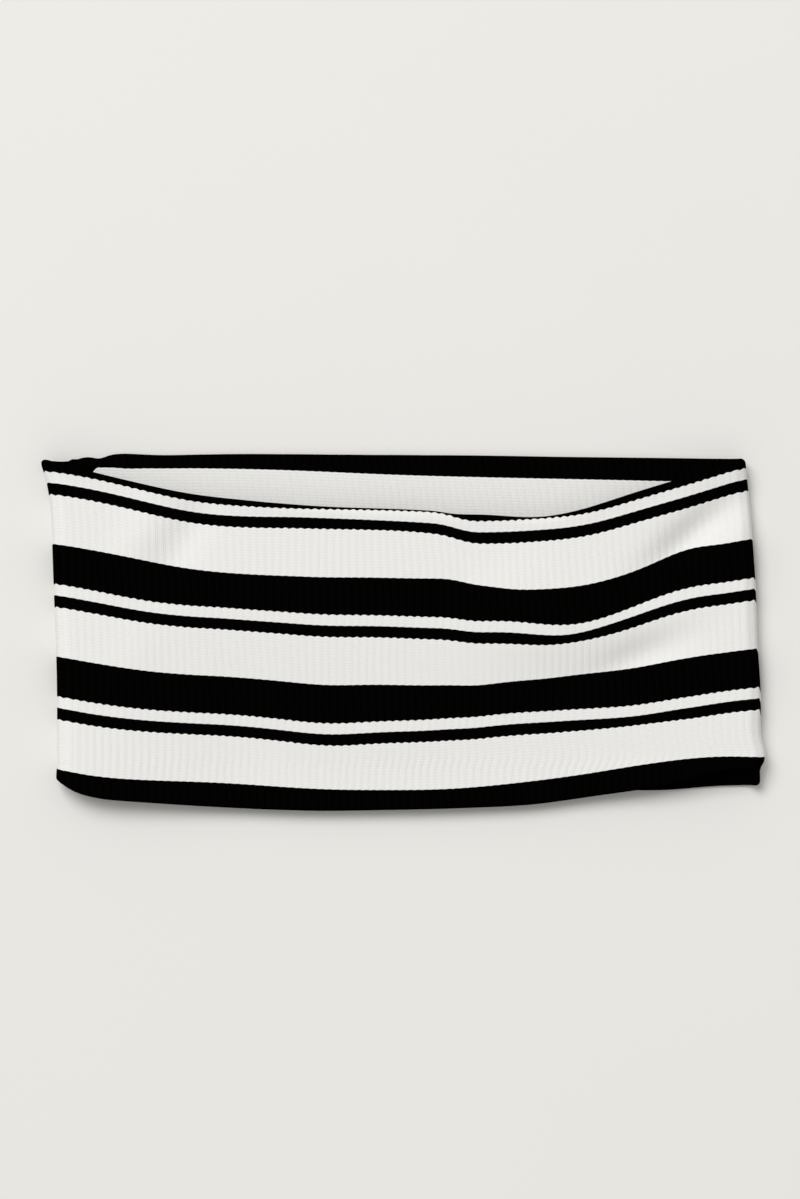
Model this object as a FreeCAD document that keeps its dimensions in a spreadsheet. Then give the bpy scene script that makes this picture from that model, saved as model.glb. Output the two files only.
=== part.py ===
"""Wide rib-knit sports headband, lying flat on a table. Millimetres.

One knit sheet is folded over at both rims, so the band is two layers thick all round. Its two
long edges are linked by a seam on the inner face, and its two ends are sewn together by an
overlocked seam inside the back panel. The band lies flat: a back panel on the table, a front
panel above it, and a U-shaped fold at each side.

Frame: +Z up, +X along the width of the flat band, +Y towards the mouth that shows the inner
face. The origin is on the table, under the middle of the band.

The middle of the front panel lifts straight up to open the loop. The stretches between it and
the folds follow it on the real band by bending and stretching, so they are pieces of their own.
"""

import FreeCAD, Part  # noqa: E401
import os
import Sketcher
from FreeCAD import Vector

SIZES = {
    "loop_width": 224.0,        # flat width, from fold to fold
    "band_height": 105.0,       # along the ribs, from rim to rim
    "lean": 5.0,                # how far the lower rim is shifted to +X against the upper one
    "layer_thickness": 1.3,     # one layer of knit
    "mouth_gap": 5.6,           # free height between the front and back panels
    "rim_bevel": 0.8,           # where the sheet turns over at a rim
    "front_width": 50.0,        # the middle of the front panel, which lifts as one
    "front_top_drop": 17.0,     # how far its upper rim sags below the back panel's
    "front_bottom_drop": 8.0,   # how far its lower rim sags below the back panel's
    "rim_sag": 3.5,             # bow of the rims beside it
    "lift_clearance": 0.3,      # between the lifting middle and its neighbours
    "long_seam_inset": 8.0,     # from the lower rim to the seam that closes the folded sheet
    "long_seam_width": 2.4,
    "long_seam_height": 0.5,
    "end_seam_inset": 14.0,     # from the left fold to the seam that joins the sheet's ends
    "end_seam_width": 6.0,      # width of the turned-in seam allowance
    "end_seam_height": 3.0,     # its four pressed layers
    "end_seam_setback": 2.0,    # from each rim to the end of the allowance
    "thread_thickness": 0.35,
    "thread_reach": 4.0,        # how far the overlock stitches reach over the allowance
}

# Places, as expressions of the sizes
HALF_LOOP = "Sizes.loop_width / 2"
FOLD_RADIUS = "(Sizes.mouth_gap / 2 + 2 * Sizes.layer_thickness)"
FOLD_AXIS = f"({HALF_LOOP} - {FOLD_RADIUS})"
HALF_FRONT = "Sizes.front_width / 2"
RAMP_END = f"({HALF_FRONT} + Sizes.lift_clearance)"
UPPER_RIM = "((Sizes.band_height + Sizes.front_bottom_drop) / 2)"
LOWER_RIM = f"({UPPER_RIM} - Sizes.band_height)"
FRONT_UPPER_RIM = f"({UPPER_RIM} - Sizes.front_top_drop)"
FRONT_LOWER_RIM = f"({LOWER_RIM} - Sizes.front_bottom_drop)"
END_SEAM = f"(-{HALF_LOOP} + Sizes.end_seam_inset)"

# Heights above the table
BACK_INNER = "Sizes.layer_thickness"
GAP_FLOOR = "2 * Sizes.layer_thickness"
GAP_CEILING = f"({GAP_FLOOR} + Sizes.mouth_gap)"
FRONT_OUTER = f"({GAP_CEILING} + Sizes.layer_thickness)"

UPPER, LOWER = 1, -1            # which face of a layer has its rims bevelled
TOUCH = 1e-6

doc = FreeCAD.newDocument("sports_headband")


def make_sheet():
    """The spreadsheet that holds every driving size."""
    sheet = doc.addObject("Spreadsheet::Sheet", "Sizes")
    for row, (alias, value) in enumerate(SIZES.items(), start=1):
        sheet.set(f"A{row}", alias)
        sheet.set(f"B{row}", str(value))
        sheet.setAlias(f"B{row}", alias)
    doc.recompute()
    return sheet


def value_of(expression):
    """The number that an expression of the sizes comes to."""
    return float(sizes.evalExpression(expression.replace("Sizes.", "")))


def leaning(x, y):
    """Expression for x at height y on a rib line that passes x at the folds' middle."""
    middle = "Sizes.front_bottom_drop / 2"
    return f"{x} - Sizes.lean / Sizes.band_height * ({y} - {middle})"


def new_body(name, place):
    """A body with its label, and its place bound to the sizes."""
    body = doc.addObject("PartDesign::Body", name)
    body.Label = name
    for axis, expression in place.items():
        body.setExpression(f"Placement.Base.{axis}", expression)
    return body


def new_sketch(body, plane_role):
    """A sketch on one of the body's own origin planes."""
    sketch = body.newObject("Sketcher::SketchObject", f"{body.Name}_outline")
    planes = [f for f in body.Origin.OriginFeatures if getattr(f, "Role", "") == plane_role]
    sketch.AttachmentSupport = [(planes[0], "")]
    sketch.MapMode = "FlatFace"
    return sketch


def bind(sketch, constraint, expression):
    """Add a dimension and tie it to the sizes."""
    index = sketch.addConstraint(constraint)
    sketch.setExpression(f"Constraints[{index}]", expression)


def bevel_edges(body, base, edges):
    """Bevel the named edges. The bevel stays inside the layer."""
    bevel = body.newObject("PartDesign::Chamfer", f"{body.Name}_bevel")
    bevel.Base = (base, edges)
    bevel.setExpression("Size", "min(Sizes.rim_bevel; 0.9 * Sizes.layer_thickness)")
    doc.recompute()
    if bevel.Shape.Volume >= base.Shape.Volume:
        raise RuntimeError(f"{body.Name}: the rims were not bevelled")


# ---------------------------------------------------------------- flat pieces


def rim_edge(start, end, bowed):
    """One rim of a flat piece: a straight line, or an arc that bows towards -Y."""
    if not bowed:
        return Part.LineSegment(start, end)
    across = (end - start).cross(Vector(0, 0, 1)).normalize()
    if across.y > 0:
        across = -across
    return Part.Arc(start, (start + end) / 2 + across * value_of("Sizes.rim_sag"), end)


def join_rim(sketch, edge, corners):
    """Add one rim between two corners, each a (geometry, end) pair of the sketch."""
    index = sketch.addGeometry(edge)
    ends = [sketch.getPoint(index, 1), sketch.getPoint(index, 2)]
    for corner in corners:
        at = sketch.getPoint(*corner)
        near = 1 if at.distanceToPoint(ends[0]) < at.distanceToPoint(ends[1]) else 2
        sketch.addConstraint(Sketcher.Constraint("Coincident", index, near, *corner))
    return index


def flat_piece(name, left, right, rims, height, thickness, bevelled=None, bowed=False):
    """A flat layer between two rib lines.

    left, right: x of the rib lines at the folds' middle.
    rims: its corners' heights, {"upper": (at left, at right), "lower": (...)}.
    height, thickness: where its underside is, and how thick it is.
    bevelled: UPPER or LOWER to bevel the rims on that face.
    """
    body = new_body(name, {"z": height})
    sketch = new_sketch(body, "XY_Plane")
    corners = {}
    for side, x in (("left", left), ("right", right)):
        ys = [rims[rim][side == "right"] for rim in ("lower", "upper")]
        xs = [leaning(x, y) for y in ys]
        points = [Vector(value_of(px), value_of(py), 0) for px, py in zip(xs, ys)]
        index = sketch.addGeometry(Part.LineSegment(*points))
        for end, (px, py) in enumerate(zip(xs, ys), start=1):
            for kind, expression in (("DistanceX", px), ("DistanceY", py)):
                number = value_of(expression)
                bind(sketch, Sketcher.Constraint(kind, -1, 1, index, end, number), expression)
        corners[side] = index
    for rim, end in (("lower", 1), ("upper", 2)):
        pair = [(corners["left"], end), (corners["right"], end)]
        points = [sketch.getPoint(*corner) for corner in pair]
        index = join_rim(sketch, rim_edge(*points, bowed), pair)
        if bowed:
            bind_bow(sketch, index, (left, right), rims[rim])
    pad = body.newObject("PartDesign::Pad", f"{name}_pad")
    pad.Profile = sketch
    pad.setExpression("Length", thickness)
    doc.recompute()
    if bevelled:
        bevel_edges(body, pad, rim_edges(pad.Shape, bevelled, value_of(thickness)))
    return body


def bind_bow(sketch, index, xs, ys):
    """Tie a bowed rim's radius to its chord and to the sag."""
    run = f"(({leaning(xs[1], ys[1])}) - ({leaning(xs[0], ys[0])}))"
    rise = f"(({ys[1]}) - ({ys[0]}))"
    sag = "Sizes.rim_sag"
    radius = f"(({run} ^ 2 + {rise} ^ 2) / 4 + {sag} ^ 2) / (2 * {sag})"
    bind(sketch, Sketcher.Constraint("Radius", index, value_of(radius)), radius)


def rim_edges(shape, face, thickness):
    """Names of the rim edges on one face of a flat layer: those that run along X."""
    level = thickness if face == UPPER else 0.0
    names = []
    for number, edge in enumerate(shape.Edges, start=1):
        ends = [vertex.Point for vertex in edge.Vertexes]
        on_face = all(abs(point.z - level) < TOUCH for point in ends)
        run = abs(ends[0].x - ends[-1].x)
        if on_face and run > abs(ends[0].y - ends[-1].y):
            names.append(f"Edge{number}")
    return names


# ---------------------------------------------------------------- folds


def fold_piece(name, side, inner, outer, top, length, bevelled_radius=None):
    """A layer bent round a side fold, from a half ring drawn across the band.

    side: -1 for the left fold, 1 for the right one.
    inner, outer: the ring's radii.  top, length: where it starts in Y, and how far it runs.
    bevelled_radius: the ring's radius whose two ends are bevelled.
    """
    axis_x = leaning(f"{side} * {FOLD_AXIS}", top)
    body = new_body(name, {"x": axis_x, "y": top, "z": FOLD_RADIUS})
    sketch = new_sketch(body, "XZ_Plane")
    arcs = [half_circle(sketch, side, radius) for radius in (inner, outer)]
    for end in (1, 2):
        points = [sketch.getPoint(arc, end) for arc in arcs]
        line = sketch.addGeometry(Part.LineSegment(*points))
        for line_end, arc in zip((1, 2), arcs):
            sketch.addConstraint(Sketcher.Constraint("Coincident", line, line_end, arc, end))
    pad = body.newObject("PartDesign::Pad", f"{name}_pad")
    pad.Profile = sketch
    pad.UseCustomVector = True
    pad.AlongSketchNormal = True
    pad.Direction = Vector(value_of("Sizes.lean / Sizes.band_height"), -1, 0)
    pad.setExpression("Direction.x", "Sizes.lean / Sizes.band_height")
    pad.setExpression("Length", length)
    doc.recompute()
    if bevelled_radius:
        radius = value_of(bevelled_radius)
        names = [f"Edge{number}" for number, edge in enumerate(pad.Shape.Edges, start=1)
                 if hasattr(edge.Curve, "Radius") and abs(edge.Curve.Radius - radius) < TOUCH]
        bevel_edges(body, pad, names)
    return body


def half_circle(sketch, side, radius):
    """Half a circle round the sketch's origin, ending on its vertical axis."""
    size = value_of(radius)
    arc = Part.Arc(Vector(0, size, 0), Vector(side * size, 0, 0), Vector(0, -size, 0))
    index = sketch.addGeometry(arc)
    sketch.addConstraint(Sketcher.Constraint("Coincident", index, 3, -1, 1))
    for end in (1, 2):
        sketch.addConstraint(Sketcher.Constraint("PointOnObject", index, end, -2))
    bind(sketch, Sketcher.Constraint("Radius", index, size), radius)
    return index


# ---------------------------------------------------------------- the band


def above(y, step):
    """The expression for a height that is a step above y."""
    return f"({y} + {step})"


def seam_rims(lower):
    """Corner heights of the long seam, beside a piece whose lower corners are given."""
    return {
        "lower": tuple(above(y, "Sizes.long_seam_inset") for y in lower),
        "upper": tuple(above(y, "Sizes.long_seam_inset + Sizes.long_seam_width") for y in lower),
    }


def make_panel(zone, left, right, rims, front, bowed=False, seam_left=None):
    """Outer layer, inner layer and long seam of one flat stretch of the band."""
    outer_z, outer_face = (FRONT_OUTER, UPPER) if front else ("0", LOWER)
    inner_z, inner_face = (GAP_CEILING, LOWER) if front else (BACK_INNER, UPPER)
    seam_z = f"{GAP_CEILING} - Sizes.long_seam_height" if front else GAP_FLOOR
    layer = "Sizes.layer_thickness"
    seam_height = "Sizes.long_seam_height"
    seam = seam_rims(rims["lower"])
    return [
        flat_piece(f"{zone}_outer_layer", left, right, rims, outer_z, layer, outer_face, bowed),
        flat_piece(f"{zone}_inner_layer", left, right, rims, inner_z, layer, inner_face, bowed),
        flat_piece(f"{zone}_long_seam", seam_left or left, right, seam, seam_z, seam_height,
                   None, bowed),
    ]


def make_fold(zone, side):
    """Outer layer, inner layer and long seam of one side fold."""
    gap_radius = "Sizes.mouth_gap / 2"
    between = f"{gap_radius} + Sizes.layer_thickness"
    seam_top = above(LOWER_RIM, "Sizes.long_seam_inset + Sizes.long_seam_width")
    seam_inner = f"{gap_radius} - Sizes.long_seam_height"
    span = "Sizes.band_height"
    return [
        fold_piece(f"{zone}_outer_layer", side, between, FOLD_RADIUS, UPPER_RIM, span, FOLD_RADIUS),
        fold_piece(f"{zone}_inner_layer", side, gap_radius, between, UPPER_RIM, span, gap_radius),
        fold_piece(f"{zone}_long_seam", side, seam_inner, gap_radius, seam_top,
                   "Sizes.long_seam_width"),
    ]


def make_end_seam():
    """The turned-in seam allowance inside the back panel, and the stitches round its edge."""
    setback = "Sizes.end_seam_setback"
    top = f"({UPPER_RIM} - {setback})"
    bottom = above(LOWER_RIM, setback)
    rims = {"upper": (top, top), "lower": (bottom, bottom)}
    edge = f"({END_SEAM} - Sizes.end_seam_width)"
    underside = f"{GAP_FLOOR} + Sizes.thread_thickness"
    allowance = flat_piece("end_seam_allowance", edge, END_SEAM, rims, underside,
                           "Sizes.end_seam_height")
    return [allowance, overlock_thread(edge, top)]


def overlock_thread(edge, top):
    """A C-shaped wrap of thread round the free edge of the allowance."""
    body = new_body("end_seam_overlock_thread",
                    {"x": leaning(edge, top), "y": top, "z": GAP_FLOOR})
    thread = "Sizes.thread_thickness"
    reach = "Sizes.thread_reach"
    inside = f"({thread} + Sizes.end_seam_height)"
    outside = f"({inside} + {thread})"
    corners = [(reach, "0"), (f"-{thread}", "0"), (f"-{thread}", outside), (reach, outside),
               (reach, inside), ("0", inside), ("0", thread), (reach, thread)]
    sketch = new_sketch(body, "XZ_Plane")
    points = [Vector(value_of(x), value_of(z), 0) for x, z in corners]
    for start, end in zip(points, points[1:] + points[:1]):
        sketch.addGeometry(Part.LineSegment(start, end))
    for index, corner in enumerate(corners):
        before = (index - 1) % len(corners)
        sketch.addConstraint(Sketcher.Constraint("Coincident", before, 2, index, 1))
        for kind, expression in zip(("DistanceX", "DistanceY"), corner):
            number = value_of(expression)
            bind(sketch, Sketcher.Constraint(kind, -1, 1, index, 1, number), expression)
    pad = body.newObject("PartDesign::Pad", "end_seam_overlock_thread_pad")
    pad.Profile = sketch
    pad.UseCustomVector = True
    pad.AlongSketchNormal = True
    pad.Direction = Vector(value_of("Sizes.lean / Sizes.band_height"), -1, 0)
    pad.setExpression("Direction.x", "Sizes.lean / Sizes.band_height")
    pad.setExpression("Length", "Sizes.band_height - 2 * Sizes.end_seam_setback")
    return body


def make_band():
    """Every piece of the band, zone by zone."""
    back = {"upper": (UPPER_RIM, UPPER_RIM), "lower": (LOWER_RIM, LOWER_RIM)}
    front = {"upper": (FRONT_UPPER_RIM, FRONT_UPPER_RIM),
             "lower": (FRONT_LOWER_RIM, FRONT_LOWER_RIM)}
    left_ramp = {rim: (back[rim][0], front[rim][0]) for rim in back}
    right_ramp = {rim: (front[rim][0], back[rim][0]) for rim in back}
    pieces = make_panel("back", f"-{FOLD_AXIS}", FOLD_AXIS, back, False, seam_left=END_SEAM)
    pieces += make_panel("front", f"-{HALF_FRONT}", HALF_FRONT, front, True)
    pieces += make_panel("left_ramp", f"-{FOLD_AXIS}", f"-{RAMP_END}", left_ramp, True, True)
    pieces += make_panel("right_ramp", RAMP_END, FOLD_AXIS, right_ramp, True, True)
    pieces += make_fold("left_fold", -1)
    pieces += make_fold("right_fold", 1)
    pieces += make_end_seam()
    return pieces


def check(pieces):
    """Stop if any object failed to build or any piece has no sound solid."""
    for item in doc.Objects:
        if {"Invalid", "Error"} & set(item.State):
            raise RuntimeError(f"{item.Name}: {item.State}")
    for piece in pieces:
        shape = piece.Shape
        if shape.isNull() or not shape.isValid() or not shape.Solids:
            raise RuntimeError(f"{piece.Label}: no sound solid")


sizes = make_sheet()
band = make_band()
doc.recompute()
check(band)
os.makedirs("parts", exist_ok=True)
for piece in band:
    piece.Shape.exportStep(f"parts/{piece.Label}.step")
    print(f"{piece.Label}: {piece.Shape.Volume:.0f} mm3")
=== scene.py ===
"""The looks of the rib-knit headband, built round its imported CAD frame.

The band is one knit sheet folded over at both rims. It is drawn as four sleeves that meet in rib
valleys: the left and right halves of the front panel, and the left and right sides, each of which
is a fold and half of the back panel. The camera and the lamp are placed in metres.

A place on the sheet has two coordinates: wales, counted along the band, and f, the distance in
millimetres down the outer face from where its first white stripe starts. f runs on round both
rims and over the inner face to the long seam, so the stripes follow it all the way.
"""
import math

import bmesh
import bpy
import numpy as np
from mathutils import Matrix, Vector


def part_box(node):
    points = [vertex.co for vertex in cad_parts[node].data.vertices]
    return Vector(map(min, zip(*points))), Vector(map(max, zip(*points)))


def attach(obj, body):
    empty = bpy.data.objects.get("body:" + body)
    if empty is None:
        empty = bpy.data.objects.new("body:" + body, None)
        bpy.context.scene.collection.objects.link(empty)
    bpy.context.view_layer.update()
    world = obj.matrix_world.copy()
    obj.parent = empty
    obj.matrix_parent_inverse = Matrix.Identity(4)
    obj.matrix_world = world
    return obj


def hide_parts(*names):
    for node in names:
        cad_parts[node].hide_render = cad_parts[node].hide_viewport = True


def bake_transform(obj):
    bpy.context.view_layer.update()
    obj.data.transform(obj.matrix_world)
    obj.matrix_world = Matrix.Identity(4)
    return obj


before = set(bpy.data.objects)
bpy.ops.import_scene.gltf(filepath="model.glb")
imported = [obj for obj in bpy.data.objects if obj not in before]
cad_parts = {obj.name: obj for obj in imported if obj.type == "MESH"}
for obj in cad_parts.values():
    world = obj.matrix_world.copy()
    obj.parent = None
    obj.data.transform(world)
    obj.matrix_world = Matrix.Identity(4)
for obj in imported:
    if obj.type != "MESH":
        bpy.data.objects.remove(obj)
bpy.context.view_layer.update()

MM = 0.001
PI = math.pi


# ------------------------------------------------------------------ sizes from the frame


def corners(node):
    """Lowest and highest corner of a CAD node, in millimetres."""
    low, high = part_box(node)
    return np.array(low) / MM, np.array(high) / MM


fold_low, fold_high = corners("right_fold_outer_layer")
LAYER = corners("back_outer_layer")[1][2]           # one layer of knit
BACK_Z = LAYER                                      # between the back panel's two layers
FRONT_Z = corners("front_inner_layer")[1][2]        # between the front panel's two layers
FOLD_Z = (BACK_Z + FRONT_Z) / 2
FOLD_RADIUS = (FRONT_Z - BACK_Z) / 2
FOLD_OUTSIDE = (fold_high[2] - fold_low[2]) / 2
LEAN = fold_high[0] - fold_low[0] - FOLD_OUTSIDE
HALF_LOOP = fold_high[0] - LEAN / 2
FOLD_X = HALF_LOOP - FOLD_OUTSIDE                   # where the flat panels end

# ------------------------------------------------------------------ the knit

RIBS = 44                       # ribs in half a panel
FOLD_RIBS = 5                   # ribs round a fold
COLUMNS_PER_RIB = 8
WALES_PER_RIB = 2
COURSE = 0.95                   # height of one row of stitches
RIB_DEPTH = 0.17
RIB_NARROWING = 1.4             # above 1, how much narrower a rib is than a plain wave
RIB_WANDER = ((0.5, 17, 29), (0.25, 6.5, -11))      # waves: size, mm a radian in y and x
TOOTH = 0.34                    # how far a rib carries a white stripe up into the black
SMOOTH_TOOTH = 0.10             # the same for a black stripe into the white
TOOTH_UNEVENNESS = 0.3          # how much that differs from rib to rib, as a share of it
TOOTH_WAVES = ((2.4, 0), (1.1, 0.7))                # radians a rib, and start, of what varies it

STRIPES = (("white", 3.5), ("black", 3.7), ("white", 15.5), ("black", 12.5))
REPEAT = sum(width for _, width in STRIPES)
SPAN = 2 * REPEAT + sum(width for _, width in STRIPES[:3])   # first white to last black
F_MAX = 110.0                   # the long seam, reached over the lower rim
F_MIN = -101.0                  # the same seam, reached over the upper rim
RIM_STEP = 0.55                 # row spacing where the sheet turns over
FLAT_STEP = 1.9                 # row spacing elsewhere
SAME_ROW = 1e-6                 # rows closer than this are one row
LINING_STEP = 4 * COLUMNS_PER_RIB                   # columns from one of the lining's to the next
INSIDE_RADIUS = 0.15            # half the space between the two layers
QUARTER = PI / 2 * LAYER        # path from a rim's crest to the flat
RIM_PUFF = 0.35                 # extra fullness just inside a rim
PUFF_PLACE = 2 * LAYER          # path from the rim's crest to the fullest line
PUFF_REACH = 1.5 * LAYER

# ------------------------------------------------------------------ how it lies
# Heights (y) along the band (x), given and rounded. "start" is where the outer face's
# first white stripe starts, "end" where its last black stripe starts. Each black is how far a
# rim's black stripe reaches from the rim's crest: on the inner face for BACK_INSIDE_BLACK, and on
# the outer face for the others. The shifts are the other way round: how far the band's left and
# right ends have moved in x, along y.

FRONT_START = ((-112, 51), (-100, 49), (-84, 45.2), (-68, 41.5), (-52, 39.7), (-28, 38.6), (-8, 38.2),
               (7, 37.7), (13, 37.1), (18, 35.8), (21.5, 35), (27, 34.8), (44, 35.5), (60, 37.4),
               (76, 41.6), (92, 46.2), (112, 52.2))
FRONT_END = ((-112, -43.8), (-106, -45.2), (-98, -46.5), (-84, -47.6), (-60, -48.6), (-28, -50.6),
             (-8, -50.9), (12, -50.6), (36, -48.5), (60, -45.2), (84, -41.2), (98, -40.1),
             (112, -40.4))
FRONT_TOP_BLACK = ((-112, 4), (-100, 2.6), (-80, 2.2), (-62, 2.3), (-40, 1.6), (-22, 0.9), (-8, 0.7),
                   (10, 0.6), (16, 0.9), (21, 1.9), (28, 2), (36, 1.2), (44, 0.7), (54, 1.2),
                   (64, 2), (92, 2.6), (112, 2.8))
FRONT_LOW_BLACK = ((-112, 3.2), (-108, 5.4), (-103, 6.6), (-90, 7.1), (-60, 7.8), (-35, 7.2),
                   (0, 6.3), (20, 6.5), (40, 7.5), (60, 7.6), (76, 8.0), (88, 7.0), (100, 4.6),
                   (112, 3.6))
BACK_TOP = ((-112, 54.6), (-101.5, 54.6), (-98.3, 55.4), (-96, 55.4), (-93.8, 55.1), (-90.5, 56),
            (-85.5, 56.6), (-76, 56.2), (-64, 56.3), (-14, 56.3), (30, 56.0), (56, 55.6),
            (80, 55.3), (112, 54.9))
BACK_LOW = ((-112, -47.6), (-106, -51), (-98, -51), (0, -50.8), (60, -50.8), (84, -51), (96, -50),
            (112, -49.5))
BACK_INSIDE_BLACK = ((-112, 6.5), (-99.5, 6.5), (-97, 5.2), (-95, 3.2), (-92, 3.2), (-89.5, 4),
                     (-87, 4.5), (-80, 4.4), (-60, 4.4), (-30, 5.2), (0, 6.3), (40, 7.1),
                     (70, 7.3), (112, 8))
BACK_LOW_BLACK = ((-112, 4.5), (-104, 5.2), (0, 5.2), (112, 5))
LEFT_SHIFT = ((-58, 0.9), (-6, 0.8), (10, 0.2), (27, -0.4), (42, -1.3), (48, -2.4), (53, -3.7),
              (57, -4.2))
RIGHT_SHIFT = ((-58, 1.7), (-46, 1.6), (-43.5, 2.1), (-42, 3.1), (-36, 2.7), (-25, 2.0), (-6, 1.1),
               (13, 0.4), (27, -0.5), (45, -2.0), (57, -3.5))

# Tucks, where a stripe of the front panel is gathered: the stripe's number, counted down from the
# first white one, x, reach to the left, reach to the right, and the millimetres taken up. The one
# below zero is a stretch that has been let out.
TUCKS = ((0, -32, 16, 26, 0.8), (1, 0, 24, 14, 0.5), (2, -60, 16, 16, 0.3), (2, 21, 14, 14, 2.2),
         (2, 91, 13, 10, 2.5), (3, -84, 14, 10, -0.6), (3, -56, 12, 36, 0.9), (3, 34, 12, 12, 2.1),
         (3, 76, 18, 12, 1.3), (4, 61, 12, 16, 0.8), (5, 52, 10, 12, 0.9), (6, 50, 30, 26, 5),
         (7, 27, 28, 34, 2.4), (9, 72, 16, 12, 0.6), (10, -26, 16, 14, 1.4), (10, 88, 36, 16, 2.9))

# Soft ridges and hollows of the front panel: x, y, angle in degrees, half length, half width, and
# height, below zero for a hollow
SWELLS = ((-83, 30, 62, 16, 7, 1.2), (-69, 29, 62, 15, 6, -1.7), (-86, -8, 70, 14, 7, 0.5),
          (34, 14, 25, 16, 9, 1), (94, 31, 38, 20, 5.5, -4.4), (75, -8, 22, 17, 5.5, -2.6),
          (46, 0, 8, 24, 12, 2.2), (-12, -34, 0, 34, 9, 0.6))
SINK = 4.2                      # how far the panel's lower side has sunk onto the back
SINK_FROM, SINK_RUN = 14, 62    # the y where that starts, and the y it takes
SINK_REACH = 60                 # the x it takes to leave a fold

# Where heights pass from the front panel's to the back's, as shares of the way round a fold: the
# rims at the left (-1) and at the right (1), and the stripe edges
RIM_TURN = {-1: (0.2, 0.9), 1: (0.28, 0.5)}
EDGE_TURN = (0.35, 0.55)


def curve(points, x):
    """A natural cubic curve through the points, read at x."""
    at, value = np.array(points, float).T
    gap, count = np.diff(at), len(at)
    climb = np.diff(value) / gap
    system, right = np.eye(count), np.zeros(count)
    for i in range(1, count - 1):
        system[i, i - 1:i + 2] = gap[i - 1], 2 * (gap[i - 1] + gap[i]), gap[i]
        right[i] = 3 * (climb[i] - climb[i - 1])
    bend = np.linalg.solve(system, right)
    i = np.clip(np.searchsorted(at, x) - 1, 0, count - 2)
    run = np.clip(x, at[0], at[-1]) - at[i]
    slope = climb[i] - gap[i] * (2 * bend[i] + bend[i + 1]) / 3
    twist = (bend[i + 1] - bend[i]) / (3 * gap[i])
    return value[i] + slope * run + bend[i] * run ** 2 + twist * run ** 3


def smooth(t):
    """An even turn from 0 to 1."""
    t = np.clip(t, 0, 1)
    return t * t * (3 - 2 * t)


def stripe_span(number):
    """Where a stripe of the outer face starts, and its width."""
    repeats, place_in = divmod(number, len(STRIPES))
    before = sum(width for _, width in STRIPES[:place_in])
    return repeats * REPEAT + before, STRIPES[place_in][1]


def gathered(x, f):
    """Millimetres of knit that the tucks take up above f."""
    total = np.zeros(np.broadcast(x, f).shape)
    for number, tuck_x, left, right, amount in TUCKS:
        start, width = stripe_span(number)
        reach = np.where(x < tuck_x, left, right)
        share = np.exp(-((x - tuck_x) / reach) ** 2)
        total += amount * share * np.clip((f - start) / width, 0, 1)
    return total


def rise(x, y):
    """How far the front panel stands above its flat place."""
    total = np.zeros(np.broadcast(x, y).shape)
    for swell_x, swell_y, angle, long_reach, wide_reach, height in SWELLS:
        cosine, sine = math.cos(math.radians(angle)), math.sin(math.radians(angle))
        along = ((x - swell_x) * cosine + (y - swell_y) * sine) / long_reach
        across = ((y - swell_y) * cosine - (x - swell_x) * sine) / wide_reach
        total += height * np.exp(-along ** 2 - across ** 2)
    sunk = smooth((SINK_FROM - y) / SINK_RUN) * smooth((FOLD_X - np.abs(x)) / SINK_REACH)
    return total - SINK * sunk


def sideways(x, y):
    """How far a point moves in x: the band's lean, and ribs that aren't quite straight."""
    share = (x + HALF_LOOP) / (2 * HALF_LOOP)
    lean = (1 - share) * curve(LEFT_SHIFT, y) + share * curve(RIGHT_SHIFT, y)
    inside = 1 - (x / HALF_LOOP) ** 2
    return lean + inside * sum(size * np.sin(y / long + x / wide) for size, long, wide in RIB_WANDER)


# ------------------------------------------------------------------ rows and columns


def stripe_starts():
    """Every f at which a stripe starts, with its colour, over the whole sheet."""
    starts = []
    first = math.floor(F_MIN / REPEAT)
    for repeat in range(first, math.ceil(F_MAX / REPEAT)):
        f = repeat * REPEAT
        for colour, width in STRIPES:
            starts.append((f, colour))
            f += width
    return starts


def colour_at(f):
    """The knit's colour at f."""
    return [colour for start, colour in stripe_starts() if start <= f][-1]


def make_rows():
    """The rows' f, closer together in the black stripes that turn over the rims.

    Those past the lower rim have close rows too.
    """
    starts = [f for f, _ in stripe_starts() if F_MIN < f < F_MAX]
    edges = [F_MIN] + starts + [F_MAX]
    rows = []
    for low, high in zip(edges, edges[1:]):
        at_rim = abs(high) < SAME_ROW or low + SAME_ROW > SPAN
        turns = at_rim and colour_at((low + high) / 2) == "black"
        count = math.ceil((high - low) / (RIM_STEP if turns else FLAT_STEP))
        rows += list(np.linspace(low, high, count, endpoint=False))
    return np.array(rows + [F_MAX])


ROWS = make_rows()
STARTS = stripe_starts()


def rib_profile(wales):
    """0 in the valley between two ribs, 1 on a rib's crest."""
    return np.abs(np.sin(PI * wales / WALES_PER_RIB)) ** RIB_NARROWING


def toothed(wales, f):
    """f with each stripe's edge carried up or down by the ribs."""
    moved = np.repeat(f[None, :], len(wales), axis=0)
    rib = np.floor(wales / WALES_PER_RIB)
    waves = np.prod([np.sin(rib * turn + start) for turn, start in TOOTH_WAVES], axis=0)
    uneven = 1 + TOOTH_UNEVENNESS * waves
    for start, colour in STARTS:
        row = np.flatnonzero(np.abs(f - start) < SAME_ROW)
        size = TOOTH if colour == "white" else SMOOTH_TOOTH
        moved[:, row] -= (size * uneven * (rib_profile(wales) - 0.5))[:, None]
    return moved


def path_of(seen):
    """Path from a rim's crest to a line that is seen this far below it."""
    rolled = LAYER * np.arccos(np.clip(1 - seen / LAYER, -1, 1))
    return np.where(seen < LAYER, rolled, seen - LAYER + QUARTER)


def front_lines(x):
    """The front panel's heights: its two rim crests, then the stripe edges nearest to them."""
    start, end = curve(FRONT_START, x), curve(FRONT_END, x)
    return np.array([start + curve(FRONT_TOP_BLACK, x), end - curve(FRONT_LOW_BLACK, x), start, end])


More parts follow.
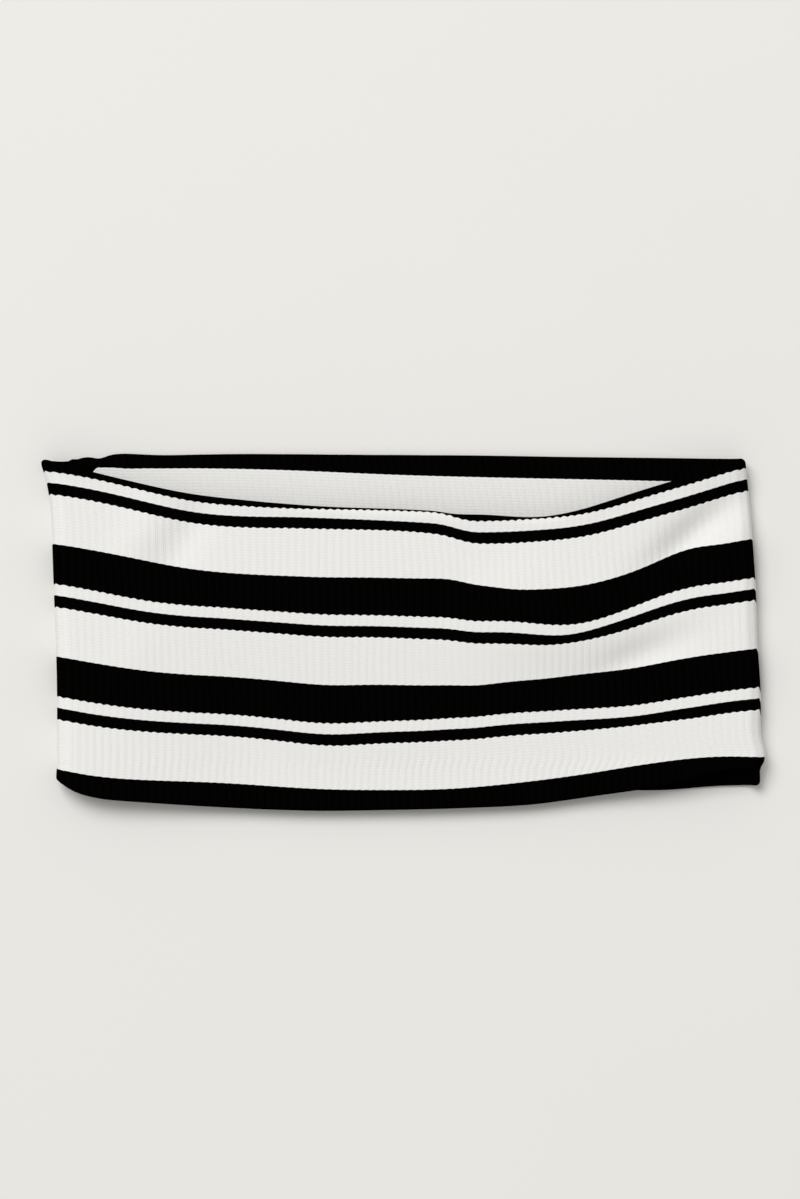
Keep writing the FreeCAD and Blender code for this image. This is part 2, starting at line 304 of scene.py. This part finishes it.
def back_lines(x):
    """The same for the back panel, whose black shows on its inner face."""
    top, low = curve(BACK_TOP, x), curve(BACK_LOW, x)
    turned = STRIPES[3][1] - path_of(curve(BACK_INSIDE_BLACK, x))
    return np.array([top, low, top - (turned - QUARTER + LAYER), low + curve(BACK_LOW_BLACK, x)])


def stepped(front, back, turn, start, end):
    """Heights between the front panel's and the back's."""
    share = smooth((turn - start) / (end - start))
    return (1 - share) * front + share * back


class Columns:
    """Rib lines of one sleeve.

    x, z, normal: place and direction of the middle surface between the sheet's two layers.
    turn: 0 on the front panel, 1 on the back one, and in between round a fold.
    rims: the heights of the upper and lower crest, and the paths from them to the stripe edges
    nearest to them.
    """

    def __init__(self, x, z, normal, turn):
        self.x, self.z, self.normal, self.turn = x, z, normal, turn
        self.front = 1 - smooth(turn)
        side = -1 if x[-1] + x[0] < 0 else 1
        front, back = front_lines(x), back_lines(x)
        top, low = stepped(front[:2], back[:2], turn, *RIM_TURN[side])
        start, end = stepped(front[2:], back[2:], turn, *EDGE_TURN)
        self.rims = np.array([top, low, path_of(top - start), path_of(end - low)])
        self.wales = np.arange(len(x)) * WALES_PER_RIB / COLUMNS_PER_RIB

    def picked(self, step):
        """Every so many columns, and always the last one."""
        index = np.unique(np.append(np.arange(0, len(self.x), step), len(self.x) - 1))
        few = Columns(self.x[index], self.z[index], self.normal[index], self.turn[index])
        few.wales = self.wales[index]
        return few


def front_columns(side):
    """From the middle of the front panel to a fold."""
    x = side * np.linspace(0, FOLD_X, RIBS * COLUMNS_PER_RIB + 1)
    flat = np.ones(x.shape)
    return Columns(x, flat * FRONT_Z, np.stack([0 * flat, flat], 1), 0 * flat)


def side_columns(side):
    """Round a fold, and along the back panel to its middle."""
    angle = np.linspace(PI / 2, -PI / 2, FOLD_RIBS * COLUMNS_PER_RIB + 1)[:-1]
    out = side * np.cos(angle)
    fold_x = side * FOLD_X + FOLD_RADIUS * out
    fold_z = FOLD_Z + FOLD_RADIUS * np.sin(angle)
    back_x = side * np.linspace(FOLD_X, 0, RIBS * COLUMNS_PER_RIB + 1)
    flat = np.ones(back_x.shape)
    x, z = np.append(fold_x, back_x), np.append(fold_z, BACK_Z * flat)
    normal = np.append(np.stack([out, np.sin(angle)], 1), np.stack([0 * flat, -flat], 1), axis=0)
    turn = np.append(np.linspace(0, 1, len(angle), endpoint=False), flat)
    return Columns(x, z, normal, turn)


# ------------------------------------------------------------------ the sheet in space


def section(columns, f):
    """Where the rows lie in each column's section: middle line, and direction outwards.

    Returns the middle line's y, the direction's y and its part along the column's normal, and
    the path from the nearest rim's crest.
    """
    top, low, above, below = (rim[:, None] for rim in columns.rims)
    x = columns.x[:, None]
    face = top - low - 2 * LAYER + 2 * QUARTER
    loose = columns.front[:, None]
    taken = gathered(x, f) * loose
    first, last = gathered(x, 0 * x) * loose, gathered(x, 0 * x + SPAN) * loose
    share = (f - taken + first) / (SPAN - last + first)
    inner = face / (F_MAX - F_MIN - above - SPAN - below)
    path = above + share * (face - above - below)
    path = np.where(f < 0, above + f, path)
    path = np.where(f > SPAN, face - below + f - SPAN, path)
    path = np.where(f < -above, inner * (f + above), path)
    path = np.where(f > SPAN + below, face + inner * (f - SPAN - below), path)
    outer = np.where((path >= 0) & (path <= face), 1, -1)
    path = np.where(path < 0, -path, np.where(path > face, 2 * face - path, path))
    to_top = np.minimum(path, QUARTER) / LAYER
    to_low = np.minimum(face - path, QUARTER) / LAYER
    lean_y = np.cos(to_top) - np.cos(to_low)
    lean_n = outer * np.sin(to_top) * np.sin(to_low)
    flat = np.clip(path, QUARTER, face - QUARTER) - QUARTER
    return top - LAYER - flat, lean_y, lean_n, np.minimum(path, face - path)


def place(columns, f, thickness):
    """Points of the sheet, a given distance out from its middle line."""
    y, lean_y, lean_n, _ = section(columns, f)
    y = y + thickness * lean_y
    x, z = columns.x[:, None], columns.z[:, None]
    lift = rise(x, y) * columns.front[:, None]
    out = thickness * lean_n
    normal_x, normal_z = columns.normal[:, 0, None], columns.normal[:, 1, None]
    return np.stack([x + sideways(x, y) + out * normal_x, y, z + out * normal_z + lift], -1)


def skin(columns):
    """The sheet's visible surface, with its ribs."""
    f = toothed(columns.wales, ROWS[:-1])
    from_rim = section(columns, f)[3]
    puff = RIM_PUFF * np.exp(-((from_rim - PUFF_PLACE) / PUFF_REACH) ** 2)
    ribs = RIB_DEPTH * (1 - rib_profile(columns.wales))[:, None] * smooth(from_rim / QUARTER)
    return place(columns, f, LAYER + puff * columns.front[:, None] - ribs)


def lining(columns):
    """The sheet's hidden surface, where its two layers face each other."""
    return place(columns, np.repeat(ROWS[None, :-1], len(columns.x), axis=0), INSIDE_RADIUS)


# ------------------------------------------------------------------ meshes


def make_mesh(name, points, faces, materials, material_of=None, uvs=None, flat=0):
    """An object from points in millimetres, with one material index and one UV list per face.

    The last faces, as many as flat says, are shaded flat.
    """
    mesh = bpy.data.meshes.new(name)
    mesh.from_pydata((np.asarray(points) * MM).tolist(), [], faces)
    for material in materials:
        mesh.materials.append(material)
    if material_of is not None:
        mesh.polygons.foreach_set("material_index", material_of)
    if uvs is not None:
        layer = mesh.uv_layers.new(name="knit")
        layer.data.foreach_set("uv", np.asarray(uvs, np.float32).ravel())
    count = len(mesh.polygons)
    mesh.polygons.foreach_set("use_smooth", np.arange(count) < count - flat)
    obj = bpy.data.objects.new(name, mesh)
    bpy.context.scene.collection.objects.link(obj)
    face_outwards(mesh)
    return obj


def face_outwards(mesh):
    """Turn a mesh's faces outwards, with a crisp edge round the flat ones."""
    edit = bmesh.new()
    edit.from_mesh(mesh)
    bmesh.ops.recalc_face_normals(edit, faces=edit.faces)
    for edge in edit.edges:
        edge.smooth = all(face.smooth for face in edge.link_faces)
    edit.to_mesh(mesh)
    edit.free()


def band_faces(first, columns, rows):
    """Quads of a ring of columns, closed along the rows: vertex indices and (column, row)."""
    column, row = np.meshgrid(np.arange(columns - 1), np.arange(rows), indexing="ij")
    column, row = column.ravel(), row.ravel()
    after = (row + 1) % rows
    a = first + column * rows
    quads = np.stack([a + row, a + after, a + rows + after, a + rows + row], 1)
    return quads, column, row


def sleeve(name, columns, materials):
    """One closed sleeve of the folded sheet: its skin, its lining and the two ends."""
    rows = len(ROWS) - 1
    inside = columns.picked(LINING_STEP)
    outer, inner = skin(columns).reshape(-1, 3), lining(inside).reshape(-1, 3)
    skin_quads, column, row = band_faces(0, len(columns.x), rows)
    lining_quads, inside_column, inside_row = band_faces(len(outer), len(inside.x), rows)
    ring = np.arange(rows)
    after = (ring + 1) % rows
    quads = [skin_quads, lining_quads[:, ::-1]]
    wales = [uv_box(columns.wales, column, ROWS, row),
             uv_box(inside.wales, inside_column, ROWS, inside_row)[:, ::-1]]
    row_of = [row, inside_row]
    for at in (0, -1):
        skin_start = at % len(columns.x) * rows
        lining_start = len(outer) + at % len(inside.x) * rows
        quads.append(np.stack([skin_start + ring, skin_start + after,
                               lining_start + after, lining_start + ring], 1))
        edge = np.full(rows, columns.wales[at])
        wales.append(np.stack([np.stack([edge, ROWS[ring + step] / COURSE], -1)
                               for step in (0, 1, 1, 0)], 1))
        row_of.append(ring)
    middle = (ROWS[:-1] + ROWS[1:]) / 2
    black = np.array([colour_at(f) == "black" for f in middle], int)
    return make_mesh(name, np.concatenate([outer, inner]), np.concatenate(quads).tolist(), materials,
                     black[np.concatenate(row_of)], np.concatenate(wales), flat=2 * rows)


def uv_box(wales, column, rows, row):
    """UV corners of quads: wales across, courses along."""
    corners_of = ((0, 0), (0, 1), (1, 1), (1, 0))
    return np.stack([np.stack([wales[column + i], rows[row + j] / COURSE], -1)
                     for i, j in corners_of], 1)


# ------------------------------------------------------------------ materials

STITCH_SLANT = 1.1              # courses that a stitch's leg climbs in one wale
ROW_FULLNESS = 0.7              # below 1, how full a stitch is along the rib
STRAND_FULLNESS = 0.6           # the same across it
STITCH_BUMP = (0.00022, 0.55)   # depth in metres, and strength
FIBRE_BUMP = (0.00012, 0.35)
FIBRE_SCALE = 2600.0
BLOTCH_SCALE = 160.0
CREST_SHARE = 0.72              # how much of the lit colour a rib's crest brings; the valleys between ribs get painted shade
STITCH_SHARE = 0.315            # how much lighter a stitch's middle is; painted shade between the stitches
BLOTCH_SHARE = 0.2              # how much a light blotch adds


class Shader:
    """A material's node tree, with short ways to add what it needs."""

    def __init__(self, name, **sockets):
        self.material = bpy.data.materials.new(name)
        self.material.use_nodes = True
        self.nodes = self.material.node_tree.nodes
        self.surface = self.nodes["Principled BSDF"]
        for socket, value in sockets.items():
            self.surface.inputs[socket.replace("_", " ")].default_value = value

    def link(self, source, target):
        """Join one socket to another."""
        self.material.node_tree.links.new(source, target)

    def math(self, operation, *values):
        """A math node on numbers or sockets."""
        node = self.nodes.new("ShaderNodeMath")
        node.operation = operation
        for socket, value in zip(node.inputs, values):
            if isinstance(value, (int, float)):
                socket.default_value = value
            else:
                self.link(value, socket)
        return node.outputs[0]

    def noise(self, scale, detail=3.0):
        """Noise in the object's own space, about 1/scale metres wide."""
        place_of = self.nodes.new("ShaderNodeTexCoord")
        node = self.nodes.new("ShaderNodeTexNoise")
        node.inputs["Scale"].default_value = scale
        node.inputs["Detail"].default_value = detail
        self.link(place_of.outputs["Object"], node.inputs["Vector"])
        return node.outputs["Fac"]

    def mix(self, factor, first, second):
        """A colour between two, each a colour or a socket."""
        node = self.nodes.new("ShaderNodeMix")
        node.data_type = "RGBA"
        self.link(factor, node.inputs["Factor"])
        for socket, value in ((node.inputs[6], first), (node.inputs[7], second)):
            if isinstance(value, tuple):
                socket.default_value = (*value, 1)
            else:
                self.link(value, socket)
        return node.outputs[2]

    def bump(self, height, distance, strength, under=None):
        """A normal from a height, on top of another normal if there is one."""
        node = self.nodes.new("ShaderNodeBump")
        node.inputs["Distance"].default_value = distance
        node.inputs["Strength"].default_value = strength
        self.link(height, node.inputs["Height"])
        if under:
            self.link(under, node.inputs["Normal"])
        return node.outputs["Normal"]


def knit_material(name, light, shaded_colour, sheen):
    """Rib knit in one yarn colour: stitches as rows of small Vs, with painted shade between the ribs
    and between the stitches.
    """
    shader = Shader(name, Roughness=0.95, Specular_IOR_Level=sheen, Sheen_Weight=sheen,
                    Sheen_Roughness=0.5)
    uv = shader.nodes.new("ShaderNodeUVMap")
    uv.uv_map = "knit"
    parts = shader.nodes.new("ShaderNodeSeparateXYZ")
    shader.link(uv.outputs["UV"], parts.inputs["Vector"])
    wales, courses = parts.outputs["X"], parts.outputs["Y"]
    leg = shader.math("ABSOLUTE", shader.math("SUBTRACT", shader.math("FRACT", wales), 0.5))
    chevron = shader.math("ADD", courses, shader.math("MULTIPLY", leg, STITCH_SLANT))
    row = shader.math("ABSOLUTE", shader.math("SINE", shader.math("MULTIPLY", chevron, PI)))
    turn = shader.math("MULTIPLY", wales, 2 * PI)
    bow = shader.math("ABSOLUTE", shader.math("SINE", turn))
    strand = shader.math("POWER", bow, STRAND_FULLNESS)
    stitch = shader.math("MULTIPLY", shader.math("POWER", row, ROW_FULLNESS), strand)
    stitched = shader.bump(stitch, *STITCH_BUMP)
    fuzzy = shader.bump(shader.noise(FIBRE_SCALE), *FIBRE_BUMP, stitched)
    shader.link(fuzzy, shader.surface.inputs["Normal"])
    # Painted shade: the colour is darker in the valleys between ribs and between stitches; the
    # blotches are the yarn's own uneven tone.
    half_turn = shader.math("MULTIPLY", wales, PI / WALES_PER_RIB)
    crest = shader.math("ABSOLUTE", shader.math("SINE", half_turn))
    shade = shader.math("ADD", shader.math("MULTIPLY", crest, CREST_SHARE),
                        shader.math("MULTIPLY", stitch, STITCH_SHARE))
    blotch = shader.math("MULTIPLY", shader.noise(BLOTCH_SCALE), BLOTCH_SHARE)
    shade = shader.math("MINIMUM", shader.math("ADD", shade, blotch), 1.0)
    shader.link(shader.mix(shade, shaded_colour, light), shader.surface.inputs["Base Color"])
    return shader.material


def thread_material(name, light, shaded_colour):
    """Twisted sewing thread, with painted shade in the grooves of its twist."""
    shader = Shader(name, Roughness=0.85, Specular_IOR_Level=0.04)
    twist = shader.nodes.new("ShaderNodeTexWave")
    twist.bands_direction = "DIAGONAL"
    twist.inputs["Scale"].default_value = 900.0
    twist.inputs["Distortion"].default_value = 1.5
    shader.link(shader.bump(twist.outputs["Fac"], 0.00008, 0.5), shader.surface.inputs["Normal"])
    # Painted shade: darker where the twist's bump is low.
    shader.link(shader.mix(twist.outputs["Fac"], shaded_colour, light),
                shader.surface.inputs["Base Color"])
    return shader.material


def floor_material():
    """Pale, plain and matt, with a barely uneven tone."""
    shader = Shader("pale_floor", Roughness=0.85, Specular_IOR_Level=0.2)
    shader.link(shader.mix(shader.noise(12.0), (0.822, 0.808, 0.780), (0.834, 0.820, 0.792)),
                shader.surface.inputs["Base Color"])
    return shader.material


# The second colour of each is painted shade, for the valleys between ribs, between stitches and in
# the thread's twist.
WHITE = knit_material("white_rib_knit", (0.875, 0.87, 0.85), (0.85, 0.845, 0.825), 0.10)
BLACK = knit_material("black_rib_knit", (0.0014, 0.0012, 0.0010), (0.0005, 0.0004, 0.0004), 0.0)
THREAD = thread_material("black_seam_thread", (0.0016, 0.0014, 0.0013), (0.0007, 0.0006, 0.0006))


# ------------------------------------------------------------------ the seams

THREAD_RADIUS = 0.24
THREAD_SIDES = 6
LINK_REACH = 0.8                # how far the long seam's links reach to each side
LINK_LIFT = 0.22                # how far they weave up and down
LINK_STAND_OFF = 1.2            # how far off the cloth they weave, in lifts
OVERLOCK_PITCH = 2.1
OVERLOCK_POINTS = 16            # points in one turn of its thread
NEEDLE_SWING = 0.3              # how far the needle thread swings to each side
NEEDLE_LIFT = 0.15              # how far it weaves up and down
FLAP_SIDES = 24
FLAP_SQUARE = 0.6               # below 1, how square the flap's section is
FLAP_END = 1.5                  # how far its ends are rounded
FLAP_BLUNT = 0.1                # share of that which is cut off flat

flap_low, flap_high = corners("end_seam_allowance")
FLAP_X = (flap_low[0] + flap_high[0]) / 2
FLAP_Z = (flap_low[2] + flap_high[2]) / 2
FLAP_WIDE = (flap_high[0] - flap_low[0] - LEAN) / 2
FLAP_THICK = (flap_high[2] - flap_low[2]) / 2
overlock_low, overlock_high = corners("end_seam_overlock_thread")
OVERLOCK_X = (overlock_low[0] + overlock_high[0]) / 2
OVERLOCK_WIDE = (overlock_high[0] - overlock_low[0] - LEAN) / 2 - THREAD_RADIUS
OVERLOCK_THICK = (overlock_high[2] - overlock_low[2]) / 2 - THREAD_RADIUS


def tube(line, across):
    """Points and faces of a thread along a line that is nowhere parallel to across."""
    sides = THREAD_SIDES
    along = np.gradient(line, axis=0)
    side = np.cross(along, across)
    over = np.cross(side, along)
    side /= np.linalg.norm(side, axis=1)[:, None]
    over /= np.linalg.norm(over, axis=1)[:, None]
    angle = np.arange(sides) * 2 * PI / sides
    ring = side[:, None] * np.cos(angle)[:, None] + over[:, None] * np.sin(angle)[:, None]
    points = (line[:, None] + THREAD_RADIUS * ring).reshape(-1, 3)
    quads, _, _ = band_faces(0, len(line), sides)
    first, last = list(range(sides)), list(range(len(points) - sides, len(points)))
    return points, quads.tolist() + [first, last]


def make_threads(name, lines):
    """One piece of several threads, each a line of points and a direction across it."""
    points, faces = [], []
    for line, across in lines:
        new_points, new_faces = tube(line, across)
        faces += [[index + len(points) for index in face] for face in new_faces]
        points += new_points.tolist()
    threads = make_mesh(name, points, faces, [THREAD])
    return threads


def long_seam(columns):
    """Two threads that link every rib on the inner face, where the folded sheet is closed."""
    closing = np.full((len(columns.x), 1), F_MAX)
    foot = place(columns, closing, LAYER)[:, 0]
    outwards = (foot - place(columns, closing, 0)[:, 0]) / LAYER
    upwards = np.array([0.0, 1.0, 0.0])
    lines = []
    for start in (0, PI):
        phase = start + 2 * PI * columns.wales / WALES_PER_RIB
        weave = LINK_LIFT * (LINK_STAND_OFF + np.cos(phase))[:, None] * outwards
        lines.append((foot + weave + LINK_REACH * np.sin(phase)[:, None] * upwards, upwards))
    return lines


def flap_rows():
    """f and y down the inner face of the back panel where the end seam is."""
    one = np.array([1.0])
    column = Columns(FLAP_X * one, 0 * one, np.array([[0.0, 1.0]]), one)
    above, below = column.rims[2][0], column.rims[3][0]
    upper = ROWS[ROWS < -above][::-1]
    lower = ROWS[ROWS > SPAN + below][::-1]
    f = np.concatenate([[-above], upper, lower[1:], [SPAN + below]])
    return f, place(column, f[None], LAYER)[0, :, 1]


def overlock_point(y, x, z):
    """Points at heights y, moved sideways as the band leans there."""
    return np.stack([x + sideways(FLAP_X + 0 * y, y), y, z + 0 * y], -1)


def make_flap():
    """The four layers of the sheet's turned-in ends."""
    f, y = flap_rows()
    sides = FLAP_SIDES
    angle = np.arange(sides) * 2 * PI / sides
    wide = np.sign(np.cos(angle)) * np.abs(np.cos(angle)) ** FLAP_SQUARE
    thick = np.sign(np.sin(angle)) * np.abs(np.sin(angle)) ** FLAP_SQUARE
    from_end = np.minimum(y[0] - y, y - y[-1])
    full = np.sqrt(1 - (1 - np.clip(from_end / FLAP_END, FLAP_BLUNT, 1)) ** 2)[:, None]
    x = FLAP_X + FLAP_WIDE * full * wide
    z = FLAP_Z + FLAP_THICK * full * thick
    height = y[:, None] + 0 * x
    points = np.stack([x + sideways(x, height), height, z], -1).reshape(-1, 3)
    quads, row, _ = band_faces(0, len(y), sides)
    ends = [list(range(sides)), list(range(len(points) - sides, len(points)))]
    rib_width = FOLD_X / RIBS
    wales = (x / rib_width * WALES_PER_RIB).ravel()
    courses = (f[:, None] / COURSE + 0 * x).ravel()
    uvs = np.stack([wales, courses], -1)[np.concatenate([quads.ravel(), *ends])]
    black = [colour_at(middle) == "black" for middle in (f[:-1] + f[1:]) / 2]
    material = np.append(np.array(black, int)[row], [1, 1])
    flap = make_mesh("end_seam_flap", points, quads.tolist() + ends, [WHITE, BLACK], material,
                     uvs, flat=2)
    return flap


def make_overlock():
    """The thread that wraps the flap's raw edge, and the line of stitches that holds it."""
    y = flap_rows()[1]
    turns = (y[0] - y[-1] - 2 * FLAP_END) / OVERLOCK_PITCH
    angle = np.linspace(0, 2 * PI * turns, int(turns * OVERLOCK_POINTS))
    down = y[0] - FLAP_END - OVERLOCK_PITCH * angle / (2 * PI)
    wrap = overlock_point(down, OVERLOCK_X + OVERLOCK_WIDE * np.cos(angle),
                          FLAP_Z + OVERLOCK_THICK * np.sin(angle))
    needle_x = OVERLOCK_X + OVERLOCK_WIDE
    top = FLAP_Z + OVERLOCK_THICK
    phase = angle[::2]
    needle = overlock_point(down[::2], needle_x + NEEDLE_SWING * np.cos(phase),
                            top + NEEDLE_LIFT * np.sin(phase))
    return make_threads("end_seam_overlock", [(wrap, (0.0, 1.0, 0.0)), (needle, (1.0, 0.0, 0.0))])


# ------------------------------------------------------------------ the pieces


def bend_with_mouth(piece):
    """Bake the piece's place into its points."""
    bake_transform(piece)


def make_front(word, side):
    """Half of the front panel, and its part of the long seam."""
    columns = front_columns(side)
    panel = sleeve(f"knit_front_{word}", columns, [WHITE, BLACK])
    bend_with_mouth(panel)
    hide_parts(f"{word}_ramp_outer_layer", f"{word}_ramp_inner_layer",
                "front_outer_layer", "front_inner_layer")
    seam = make_threads(f"long_seam_front_{word}", long_seam(columns))
    bend_with_mouth(seam)
    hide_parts(f"{word}_ramp_long_seam", "front_long_seam")
    return panel


def make_side(word, side):
    """A fold and half of the back panel, and their part of the long seam."""
    columns = side_columns(side)
    edge = sleeve(f"knit_side_{word}", columns, [WHITE, BLACK])
    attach(edge, "back")
    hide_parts(f"{word}_fold_outer_layer", f"{word}_fold_inner_layer",
                "back_outer_layer", "back_inner_layer")
    seam = make_threads(f"long_seam_side_{word}", long_seam(columns))
    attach(seam, "back")
    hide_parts(f"{word}_fold_long_seam", "back_long_seam")
    return edge


def make_band():
    """The whole band: its sides and end seam on the back body, and the front panel's two halves."""
    left, right = make_side("left", -1), make_side("right", 1)
    flap, overlock = make_flap(), make_overlock()
    for piece, node in ((flap, "end_seam_allowance"), (overlock, "end_seam_overlock_thread")):
        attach(piece, "back")
        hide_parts(node)
    make_front("left", -1)
    make_front("right", 1)


def make_floor():
    """The table that the band lies on."""
    size = 3000.0
    points = [(-size, -size, 0), (size, -size, 0), (size, size, 0), (-size, size, 0)]
    floor = make_mesh("floor", points, [(0, 1, 2, 3)], [floor_material()])


def make_light():
    """A wide soft lamp at the upper left, and an even pale room."""
    world = bpy.data.worlds.new("pale_room")
    world.use_nodes = True
    background = world.node_tree.nodes["Background"]
    background.inputs["Color"].default_value = (1.0, 0.99, 0.97, 1)
    background.inputs["Strength"].default_value = 0.455
    bpy.context.scene.world = world
    key = bpy.data.lights.new("key", "AREA")
    key.size = 2.4
    key.energy = 146.0
    key.color = (1.0, 1.0, 1.0)
    lamp = bpy.data.objects.new("key", key)
    lamp.location = (-1.3, 2.0, 4.0)
    lamp.rotation_euler = lamp.location.to_track_quat("Z", "Y").to_euler()
    bpy.context.scene.collection.objects.link(lamp)


def make_camera():
    """Straight above, with a long lens."""
    camera = bpy.data.cameras.new("camera")
    camera.sensor_width = 36.0
    distance, seen_height = 1.6, 0.382
    middle_x, middle_y = -0.0013, 0.0099
    camera.lens = camera.sensor_width * distance / seen_height
    camera.clip_start = 0.05
    eye = bpy.data.objects.new("camera", camera)
    eye.location = (middle_x, middle_y, distance + FRONT_Z * MM)
    bpy.context.scene.collection.objects.link(eye)
    bpy.context.scene.camera = eye


bpy.context.scene.view_settings.view_transform = "Standard"
make_camera()
make_light()
make_floor()
make_band()
